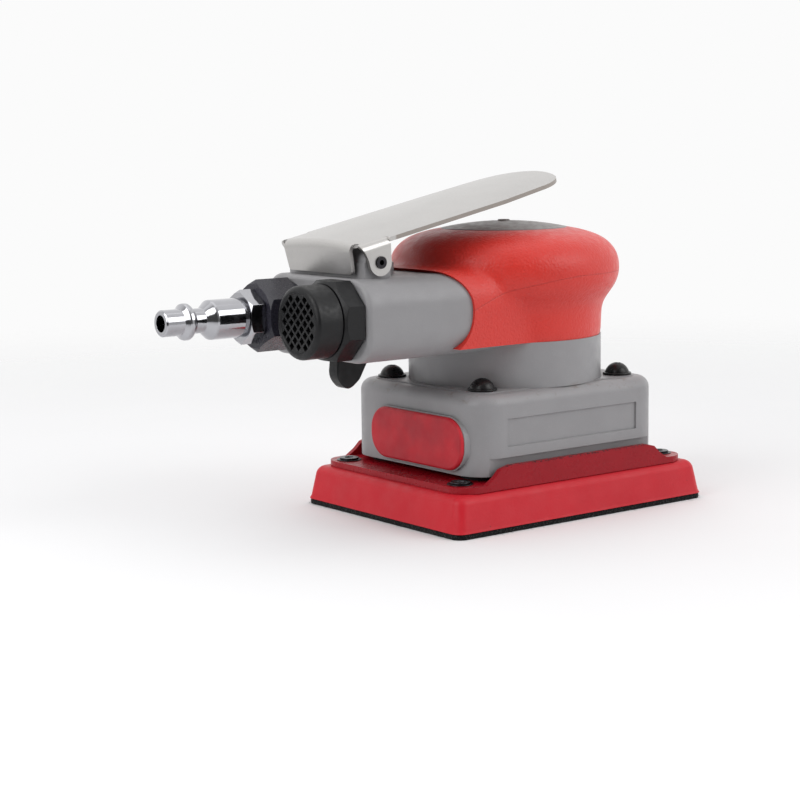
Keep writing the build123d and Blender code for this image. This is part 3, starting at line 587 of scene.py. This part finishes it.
FINISHES = {
    "grey_composite": composite_finish,
    "grip_rubber": grip_finish,
    "pad_urethane": urethane_finish,
    "cover_rubber": cover_finish,
    "plate_paint": paint_finish,
    "hook_facing": facing_finish,
    "facing_fibre": fibre_finish,
    "black_plastic": plastic_finish,
    "screw_black": lambda: plastic_finish("screw_black", shade(20, 18, 19), 0.3),
    "black_anodised": lambda: plastic_finish("black_anodised", colours().anodised, 0.24),
    "leg_rubber": lambda: plastic_finish("leg_rubber", shade(26, 26, 27), 0.62),
    "seal_rubber": lambda: plastic_finish("seal_rubber", shade(24, 24, 26), 0.5),
    "cap_plastic": cap_finish,
    "lever_stainless": stainless_finish,
    "muffler_felt": felt_finish,
    "vane_laminate": laminate_finish,
    "plug_chrome": lambda: metal_finish("plug_chrome", shade(176, 176, 180), 0.08, spots=0.08),
    "black_steel": lambda: metal_finish("black_steel", shade(58, 56, 59), 0.34, spots=0.2),
    "valve_brass": lambda: metal_finish("valve_brass", shade(206, 166, 92), 0.25, spots=0.2),
    "spring_steel": lambda: metal_finish("spring_steel", shade(150, 148, 150), 0.3, spots=0.2),
    "bearing_steel": lambda: metal_finish("bearing_steel", shade(196, 196, 198), 0.16, (1, 1, 12)),
    "rotor_steel": lambda: metal_finish("rotor_steel", shade(160, 158, 156), 0.3, (1, 1, 12), 0.01),
    "cast_aluminium": lambda: metal_finish("cast_aluminium", shade(178, 178, 180), 0.4, spots=0.15),
}


def finish_for(name):
    """The named material, made the first time it is asked for."""
    return bpy.data.materials.get(name + "_finish") or made_finish(name)


def made_finish(name):
    material = FINISHES[name]()
    material.name = name + "_finish"
    return material


# --- Operators --------------------------------------------------------------------------------
class SANDER_OT_finishes(bpy.types.Operator):
    """Give every frame piece that stays in view its material"""
    bl_idname = "sander.finishes"
    bl_label = "Frame finishes"

    def execute(self, context):
        slots = {part["node"]: part["material_slot"] for part in frame["record"]["subparts"]}
        for name, node in frame["nodes"].items():
            material = finish_for(slots[name])
            for slot in node.material_slots:
                slot.material = material
        return {"FINISHED"}


class SANDER_OT_pad(bpy.types.Operator):
    """Model the urethane pad: a tapered block with a moulded lip at its foot"""
    bl_idname = "sander.pad"
    bl_label = "Pad"

    def execute(self, context):
        size = sizes()
        pad = block("pad_block", PAD_LOW, PAD_HIGH)
        span = PAD_HIGH - PAD_LOW
        lean = (1 - 2 * size.pad_taper / span.x, 1 - 2 * size.pad_taper / span.y, 1)
        lip = (1 + 2 * size.pad_lip / span.x, 1 + 2 * size.pad_lip / span.y, 1)
        with editing(pad):
            pick("EDGE", lambda e: along(e, 2))
            bpy.ops.mesh.bevel(offset=size.pad_corner, segments=8, affect="EDGES")
            pick("FACE", lambda f: f.normal.z > 0.9)
            bpy.ops.transform.resize(value=lean, center_override=PAD_MID)
            pick("EDGE", lambda e: middle(e).z > PAD_HIGH.z - 1e-5)
            bpy.ops.mesh.bevel(offset=size.pad_round, segments=6, affect="EDGES")
            bpy.ops.mesh.select_all(action="SELECT")
            bpy.ops.mesh.bisect(plane_co=(0, 0, PAD_LOW.z + LIP_HEIGHT), plane_no=(0, 0, 1))
            pick("VERT", lambda v: v.co.z < PAD_LOW.z + 1e-5)
            bpy.ops.transform.resize(value=lip, center_override=PAD_MID)
        soften(pad, EDGE_PAD, 2, 40)
        settle(pad, "pad", "pad_urethane", finish_for("pad_urethane"), "pad_body")
        return {"FINISHED"}


def fibre_mesh(seed):
    """Stray fibres round the edge of the facing: thin curved three-sided strands."""
    dice = random.Random(seed)
    low, high = FACING_LOW, FACING_HIGH
    middle_x, middle_y = (low.x + high.x) / 2, (low.y + high.y) / 2
    half_x, half_y = (high.x - low.x) / 2, (high.y - low.y) / 2
    verts, faces = [], []
    sides = [((-1, 0), half_y, half_x), ((1, 0), half_y, half_x)]
    sides += [((0, -1), half_x, half_y), ((0, 1), half_x, half_y)]
    for (nx, ny), run, reach in sides:
        outward = Vector((nx, ny, 0))
        sideways = Vector((-ny, nx, 0))
        for _ in range(int(2 * run / MM * FIBRES_PER_MM)):
            s = dice.uniform(-run + 2 * MM, run - 2 * MM)
            root = Vector((middle_x, middle_y, dice.uniform(low.z + 0.15 * MM, high.z - FIBRE_ROOT)))
            root += outward * (reach - FIBRE_ROOT) + sideways * s
            stray = dice.random() ** 4
            size = (0.25 + 0.75 * stray) * sizes().fibre
            lean = sideways * dice.uniform(-1, 1) + Vector((0, 0, dice.uniform(-0.7, 0.25)))
            curl = Vector((dice.uniform(-1, 1), dice.uniform(-1, 1), dice.uniform(-0.8, 0.3)))
            start = len(verts)
            for k in range(FIBRE_STEPS + 1):
                t = k / FIBRE_STEPS
                spot = root + (outward * t + lean * 0.6 * t + curl * 0.5 * t * t) * size
                spot.z = max(spot.z, 0.05 * MM)
                radius = FIBRE_RADIUS * (1 - 0.7 * t)
                for corner in range(3):
                    turn = TAU * corner / 3
                    around = sideways * math.cos(turn) + Vector((0, 0, 1)) * math.sin(turn)
                    verts.append(spot + around * radius)
                if k:
                    a, b = start + 3 * (k - 1), start + 3 * k
                    faces += [(a + i, a + (i + 1) % 3, b + (i + 1) % 3, b + i) for i in range(3)]
            faces.append((start + 2, start + 1, start))
            last = start + 3 * FIBRE_STEPS
            faces.append((last, last + 1, last + 2))
    mesh = bpy.data.meshes.new("facing_fibres")
    mesh.from_pydata(verts, [], faces)
    return mesh


class SANDER_OT_facing(bpy.types.Operator):
    """Model the hook facing under the pad, and the stray fibres round its edge"""
    bl_idname = "sander.facing"
    bl_label = "Hook facing"

    def execute(self, context):
        facing = block("facing_sheet", FACING_LOW, FACING_HIGH)
        with editing(facing):
            pick("EDGE", lambda e: along(e, 2))
            bpy.ops.mesh.bevel(offset=sizes().pad_corner, segments=8, affect="EDGES")
        soften(facing, EDGE_SMALL, 3, 40)
        settle(facing, "pad", "hook_facing", finish_for("hook_facing"), "pad_facing")
        fibres = bpy.data.objects.new("facing_fibres", fibre_mesh(7))
        bpy.context.scene.collection.objects.link(fibres)
        with editing(fibres):
            bpy.ops.mesh.select_all(action="SELECT")
            bpy.ops.mesh.normals_make_consistent(inside=False)
        settle(fibres, "pad", "hook_facing", finish_for("facing_fibre"))
        return {"FINISHED"}


class SANDER_OT_plate(bpy.types.Operator):
    """Model the pressed steel plate on the pad, with its two turned-up sides"""
    bl_idname = "sander.plate"
    bl_label = "Pad plate"

    def execute(self, context):
        softened("pad_plate", "pad", "plate_paint", sizes().sheet_edge, 3, 25)
        softened("pad_washers", "pad", "black_steel", EDGE_WASHER, 2)
        softened("pad_screws", "pad", "black_steel", EDGE_FINE, 2)
        return {"FINISHED"}


class SANDER_OT_lower_housing(bpy.types.Operator):
    """Round the edges of the lower housing, and model its rubber port cover"""
    bl_idname = "sander.lower_housing"
    bl_label = "Lower housing"

    def execute(self, context):
        softened("lower_housing", "housing", "grey_composite", EDGE_SMALL)
        low, high = COVER_LOW, COVER_HIGH
        face = low.x + COVER_DEPTH
        cover = block("port_cover_pad", low, (face, high.y, high.z))
        with editing(cover):
            pick("EDGE", lambda e: along(e, 0))
            bpy.ops.mesh.bevel(offset=sizes().cover_corner, segments=14, affect="EDGES")
            pick("FACE", lambda f: f.normal.x < -0.9)
            bpy.ops.mesh.inset(thickness=COVER_INSET, depth=0)
            pick("EDGE", lambda e: middle(e).x < low.x + 1e-5 and len(e.link_faces) == 2
                 and any(abs(f.normal.x) < 0.1 for f in e.link_faces))
            bpy.ops.mesh.bevel(offset=COVER_ROUND, segments=5, affect="EDGES")
        smooth(cover, 40)
        settle(cover, "housing", "cover_rubber", finish_for("cover_rubber"), "port_cover")
        return {"FINISHED"}


def dome_screw(name, at):
    """A button-head screw: a dome with a six-sided socket, on a flanged washer."""
    seat = WASHERS_HIGH.z
    radius, rise = sizes().screw_radius, sizes().screw_rise
    ball = (radius**2 + rise**2) / (2 * rise)
    reach = math.asin(radius / ball)
    outline = [(0, 0, seat - 0.4 * MM), (radius, 0, seat - 0.4 * MM)]
    turns = [reach * (1 - k / 16) for k in range(17)]
    outline += [(ball * math.sin(turn), 0, seat + rise - ball + ball * math.cos(turn)) for turn in turns]
    screw = spun(name, outline, steps=48)
    cut(screw, drum("socket", sizes().socket_radius, (0, 0, seat + 2 * MM), (0, 0, seat + 4 * MM), sides=6))
    soften(screw, EDGE_SCREW, 2, 35)
    only(screw)
    bpy.ops.transform.translate(value=(at[0], at[1], 0))
    return placed(screw)


def flat_washer(name, at):
    low, high = WASHERS_LOW.z, WASHERS_HIGH.z
    washer = drum(name, sizes().washer_radius, (at[0], at[1], low), (at[0], at[1], high), sides=64)
    cut(washer, drum("bore", WASHER_BORE, (at[0], at[1], low - MM), (at[0], at[1], high + MM), sides=32))
    return soften(washer, EDGE_SMALL, 3, 40)


class SANDER_OT_housing_screws(bpy.types.Operator):
    """Model the four button-head screws and their washers on the lower housing"""
    bl_idname = "sander.housing_screws"
    bl_label = "Housing screws"

    def execute(self, context):
        spread_x = WASHERS_HIGH.x - sizes().washer_radius
        spread_y = WASHERS_HIGH.y - sizes().washer_radius
        corners = [(sx * spread_x, sy * spread_y) for sx in (-1, 1) for sy in (-1, 1)]
        for count, at in enumerate(corners, 1):
            screw = dome_screw(f"dome_screw_{count}", at)
            settle(screw, "housing", "black_steel", finish_for("screw_black"), "housing_screws")
            washer = flat_washer(f"dome_washer_{count}", at)
            settle(washer, "housing", "black_steel", finish_for("screw_black"), "screw_washers")
        return {"FINISHED"}


class SANDER_OT_motor_housing(bpy.types.Operator):
    """Round the edges of the motor housing and its barrel"""
    bl_idname = "sander.motor_housing"
    bl_label = "Motor housing"

    def execute(self, context):
        softened("motor_housing", "housing", "grey_composite", EDGE_SMALL)
        return {"FINISHED"}


# The grip's side, from its foot on the collar to the lip round the cap: radius and height, in mm.
GRIP_SIDE = [
    (31.1, 48.0), (31.1, 60.0), (31.2, 64.4), (32.4, 66.8), (34.9, 69.8), (36.6, 72.8), (37.1, 76.6),
    (36.6, 80.2), (34.9, 83.2), (32.0, 85.8), (27.5, 87.7), (20.0, 89.4), (10.0, 90.0), (0.0, 90.1),
]


def grip_form():
    """The mushroom crown and the saddle over the barrel, flowed into one another."""
    size = sizes()
    outline = [(0, 0, GRIP_START)] + [(r * MM, 0, z * MM) for r, z in GRIP_SIDE]
    crown = spun("palm_grip_form", outline, steps=72)
    finish_modifier(crown, "SUBSURF", levels=2, render_levels=2)
    proud = size.grip_proud
    half_y, bottom, top = BARREL_HALF_Y + proud, SADDLE_START, BARREL_TOP + proud
    saddle = block("saddle", (-50 * MM, -half_y, bottom), (0, half_y, top))
    with editing(saddle):
        pick("EDGE", lambda e: along(e, 0) and middle(e).z > bottom + MM)
        bpy.ops.mesh.bevel(offset=BARREL_ROUND + proud, segments=12, affect="EDGES")
    cut(crown, saddle, "UNION")
    finish_modifier(crown, "REMESH", mode="VOXEL", voxel_size=GRIP_VOXEL, use_smooth_shade=True)
    finish_modifier(crown, "SMOOTH", factor=0.5, iterations=size.grip_flow)
    return crown


class SANDER_OT_palm_grip(bpy.types.Operator):
    """Model the soft palm grip as one flowing skin, cut to the barrel, the collar and the cap"""
    bl_idname = "sander.palm_grip"
    bl_label = "Palm grip"

    def execute(self, context):
        grip = grip_form()
        foot = GRIP_LOW.z
        nose = (NOSE_X, -FAR, NOSE_Z), (NOSE_X, FAR, NOSE_Z)
        cut(grip, drum("nose", sizes().nose_radius, *nose, "Y", 128))
        cut(grip, block("tail", (-100 * MM, -FAR, 30 * MM), (SADDLE_REAR, FAR, 100 * MM)))
        cut(grip, block("below", (-FAR, -FAR, 30 * MM), (FAR, FAR, foot)))
        cut(grip, drum("core", CORE_RADIUS, (0, 0, 40 * MM), (0, 0, CORE_TOP)))
        cut(grip, drum("cap_seat", CAP_SEAT_RADIUS, (0, 0, CAP_SEAT_LOW), (0, 0, 100 * MM), sides=128))
        only(grip)
        bpy.ops.object.shade_smooth_by_angle(angle=math.radians(40))
        settle(grip, "housing", "grip_rubber", finish_for("grip_rubber"), "palm_grip")
        return {"FINISHED"}


class SANDER_OT_top_cap(bpy.types.Operator):
    """Model the domed disc set into the top of the grip, with its small nub"""
    bl_idname = "sander.top_cap"
    bl_label = "Top cap"

    def execute(self, context):
        softened("top_cap", "housing", "cap_plastic", EDGE_PAD)
        return {"FINISHED"}


class SANDER_OT_air_inlet(bpy.types.Operator):
    """Round the edges of the inlet bushing and the plated air plug"""
    bl_idname = "sander.air_inlet"
    bl_label = "Air inlet"

    def execute(self, context):
        softened("inlet_bushing", "housing", "black_anodised", sizes().moulded_edge, 3)
        softened("air_plug", "housing", "plug_chrome", sizes().machined_edge, 3, 12)
        return {"FINISHED"}


def muffler_form():
    """The muffler's cap: a turned cup with a raised rim, its face pierced by rows of diamonds."""
    low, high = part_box("muffler_cap")
    y, z = (low.y + high.y) / 2, (low.z + high.z) / 2
    rear, front, wide = low.x / MM, high.x / MM, (high.y - low.y) / 2 / MM
    inside = rear + CUP_FLOOR
    outline = [(inside, 0), (inside, CUP_BORE), (front, CUP_BORE), (front, wide - 0.15), (front - 0.15, wide)]
    outline += [(rear + 1.2, wide), (rear + 0.6, wide - 0.25), (rear + 0.2, wide - 0.75), (rear, wide - 1.4)]
    outline += [(rear, wide - 1.9), (rear + 0.1, wide - 2.1)]
    outline += [(rear + CUP_DISH, wide - 2.3), (rear + CUP_DISH, 0)]
    cap = spun("muffler_form", [(x * MM, y, z + r * MM) for x, r in outline], (0, y, z), (1, 0, 0))
    hole, pitch, reach = sizes().mesh_hole, sizes().mesh_pitch, sizes().mesh_reach
    spots = [(pitch * i, pitch * j) for i in range(-4, 5) for j in range(-4, 5) if (i + j) % 2 == 0]
    holes = [drum("mesh_hole", hole, (low.x - MM, y + a, z + b), (low.x + 3 * MM, y + a, z + b), "X", 4)
             for a, b in spots if math.hypot(a, b) < reach]
    only(holes[0])
    for other in holes:
        other.select_set(True)
    bpy.ops.object.join()
    return smooth(cut(cap, holes[0]), 30)


class SANDER_OT_muffler(bpy.types.Operator):
    """Model the pierced exhaust cap, and round the edges of its collar"""
    bl_idname = "sander.muffler"
    bl_label = "Exhaust muffler"

    def execute(self, context):
        softened("muffler_collar", "housing", "black_plastic", EDGE_SMALL)
        settle(muffler_form(), "housing", "black_plastic", finish_for("black_plastic"), "muffler_cap")
        return {"FINISHED"}


class SANDER_OT_regulator(bpy.types.Operator):
    """Round the edges of the speed regulator's fin"""
    bl_idname = "sander.regulator"
    bl_label = "Speed regulator"

    def execute(self, context):
        softened("speed_regulator", "regulator", "black_plastic", EDGE_SOFT, 4)
        return {"FINISHED"}


class SANDER_OT_valve_spring(bpy.types.Operator):
    """Stand a smoothed copy of the coil in for the valve spring"""
    bl_idname = "sander.valve_spring"
    bl_label = "Valve spring"

    def execute(self, context):
        coil = copy_of("valve_spring", "valve_spring_coil")
        smooth(coil, 40)
        settle(coil, "housing", "spring_steel", finish_for("spring_steel"), "valve_spring")
        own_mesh(coil)
        return {"FINISHED"}


class SANDER_OT_lever(bpy.types.Operator):
    """Round the cut edges of the stainless throttle lever"""
    bl_idname = "sander.lever"
    bl_label = "Throttle lever"

    def execute(self, context):
        softened("throttle_lever", "lever", "lever_stainless", EDGE_LEVER, 3, 35)
        return {"FINISHED"}


class SANDER_OT_stage(bpy.types.Operator):
    """Set the pale floor, the soft studio light and the camera"""
    bl_idname = "sander.stage"
    bl_label = "Stage"

    def execute(self, context):
        camera()
        floor()
        backdrop_light()
        softbox("key_softbox", (0.45, -0.85, 0.62), 0.7, 4.2)
        softbox("left_softbox", (-0.78, -0.05, 0.5), 0.7, 4.6)
        softbox("top_softbox", (-0.1, 0.15, 0.95), 0.9, 0.9)
        context.scene.view_settings.view_transform = "Standard"
        return {"FINISHED"}


def camera():
    """A long lens at lever height, looking a little down on the rear left corner."""
    data = bpy.data.cameras.new("camera")
    data.lens = 84.3
    data.sensor_width = 36
    data.clip_start, data.clip_end = 0.01, 50
    view = bpy.data.objects.new("camera", data)
    bpy.context.scene.collection.objects.link(view)
    pitch, yaw, roll = (math.radians(angle) for angle in (8.18, 37.35, -0.75))
    ahead = Vector((math.sin(yaw) * math.cos(pitch), math.cos(yaw) * math.cos(pitch), -math.sin(pitch)))
    level = Vector((math.cos(yaw), -math.sin(yaw), 0))
    upright = level.cross(ahead)
    right = level * math.cos(roll) + upright * math.sin(roll)
    top = upright * math.cos(roll) - level * math.sin(roll)
    turn = Matrix((right, top, -ahead)).transposed().to_4x4()
    view.matrix_world = Matrix.Translation((-0.3919, -0.4576, 0.1201)) @ turn
    bpy.context.scene.camera = view


def floor():
    bpy.ops.object.select_all(action="DESELECT")
    bpy.ops.mesh.primitive_grid_add(x_subdivisions=4, y_subdivisions=4, size=8, location=(0, 0, 0))
    ground = placed(bpy.context.object)
    ground.name = "floor"
    finish = Finish("floor_paper", shade(229, 229, 230), 0.9, Specular_IOR_Level=0.1)
    finish.blend(finish.ramp(finish.noise(60.0, 2.0), 0.3, 0.7, 0, 0.3), shade(227, 227, 228))
    away = finish.node("ShaderNodeVectorMath", operation="LENGTH")
    finish.link(finish.where, away.inputs[0])
    clear = finish.node("ShaderNodeBsdfTransparent")
    fade = finish.node("ShaderNodeMixShader")
    finish.link(finish.ramp(away.outputs["Value"], 150, 650), fade.inputs[0])
    finish.link(finish.shader.outputs[0], fade.inputs[1])
    finish.link(clear.outputs[0], fade.inputs[2])
    finish.link(fade.outputs[0], finish.tree.nodes["Material Output"].inputs["Surface"])
    ground.data.materials.append(finish.material)


def softbox(name, place, size, power):
    data = bpy.data.lights.new(name, "AREA")
    data.shape = "SQUARE"
    data.size = size
    data.energy = power
    lamp = bpy.data.objects.new(name, data)
    bpy.context.scene.collection.objects.link(lamp)
    lamp.location = place
    aim = Vector((-0.02, 0, 0.05)) - Vector(place)
    lamp.rotation_euler = aim.to_track_quat("-Z", "Y").to_euler()


def backdrop_light():
    """White all round, dimmer from behind the viewer's left, so that edges and plating read."""
    world = bpy.data.worlds.new("studio")
    bpy.context.scene.world = world
    world.use_nodes = True
    tree = world.node_tree
    sky = tree.nodes["Background"]
    coordinates = tree.nodes.new("ShaderNodeTexCoord")
    facing = tree.nodes.new("ShaderNodeVectorMath")
    facing.operation = "DOT_PRODUCT"
    facing.inputs[1].default_value = (0.78, 0.6, 0.18)
    tree.links.new(coordinates.outputs["Generated"], facing.inputs[0])
    level = tree.nodes.new("ShaderNodeMapRange")
    level.interpolation_type = "SMOOTHSTEP"
    for socket, number in zip(level.inputs[1:5], (-0.85, 0.5, 0.1, 1.12)):
        socket.default_value = number
    tree.links.new(facing.outputs["Value"], level.inputs["Value"])
    rays = tree.nodes.new("ShaderNodeLightPath")
    shown = tree.nodes.new("ShaderNodeMix")
    tree.links.new(rays.outputs["Is Camera Ray"], shown.inputs[0])
    tree.links.new(level.outputs[0], shown.inputs[2])
    shown.inputs[3].default_value = 0.965
    tree.links.new(shown.outputs[0], sky.inputs["Strength"])
    sky.inputs["Color"].default_value = (1, 1, 1, 1)


# --- Panel and registration -------------------------------------------------------------------
STEPS = (
    SANDER_OT_stage, SANDER_OT_finishes, SANDER_OT_pad, SANDER_OT_facing, SANDER_OT_plate,
    SANDER_OT_lower_housing, SANDER_OT_housing_screws, SANDER_OT_motor_housing, SANDER_OT_palm_grip,
    SANDER_OT_top_cap, SANDER_OT_air_inlet, SANDER_OT_muffler, SANDER_OT_regulator, SANDER_OT_valve_spring,
    SANDER_OT_lever,
)


class SANDER_PT_panel(bpy.types.Panel):
    """Sizes, colours and the steps that build the sander"""
    bl_label = "Palm Sander"
    bl_idname = "SANDER_PT_panel"
    bl_space_type = "VIEW_3D"
    bl_region_type = "UI"
    bl_category = "Sander"

    def draw(self, context):
        for group in (context.scene.sander_sizes, context.scene.sander_colours):
            column = self.layout.column(align=True)
            for name in group.__annotations__:
                column.prop(group, name)
        column = self.layout.column(align=True)
        for step in STEPS:
            column.operator(step.bl_idname)


CLASSES = (SanderSizes, SanderColours, *STEPS, SANDER_PT_panel)


def register():
    for cls in CLASSES:
        bpy.utils.register_class(cls)
    bpy.types.Scene.sander_sizes = PointerProperty(type=SanderSizes)
    bpy.types.Scene.sander_colours = PointerProperty(type=SanderColours)


def unregister():
    del bpy.types.Scene.sander_colours
    del bpy.types.Scene.sander_sizes
    for cls in reversed(CLASSES):
        bpy.utils.unregister_class(cls)


def main():
    register()
    for step in STEPS:
        group, call = step.bl_idname.split(".")
        getattr(getattr(bpy.ops, group), call)()
    bpy.context.view_layer.update()


if __name__ == "__main__":
    main()
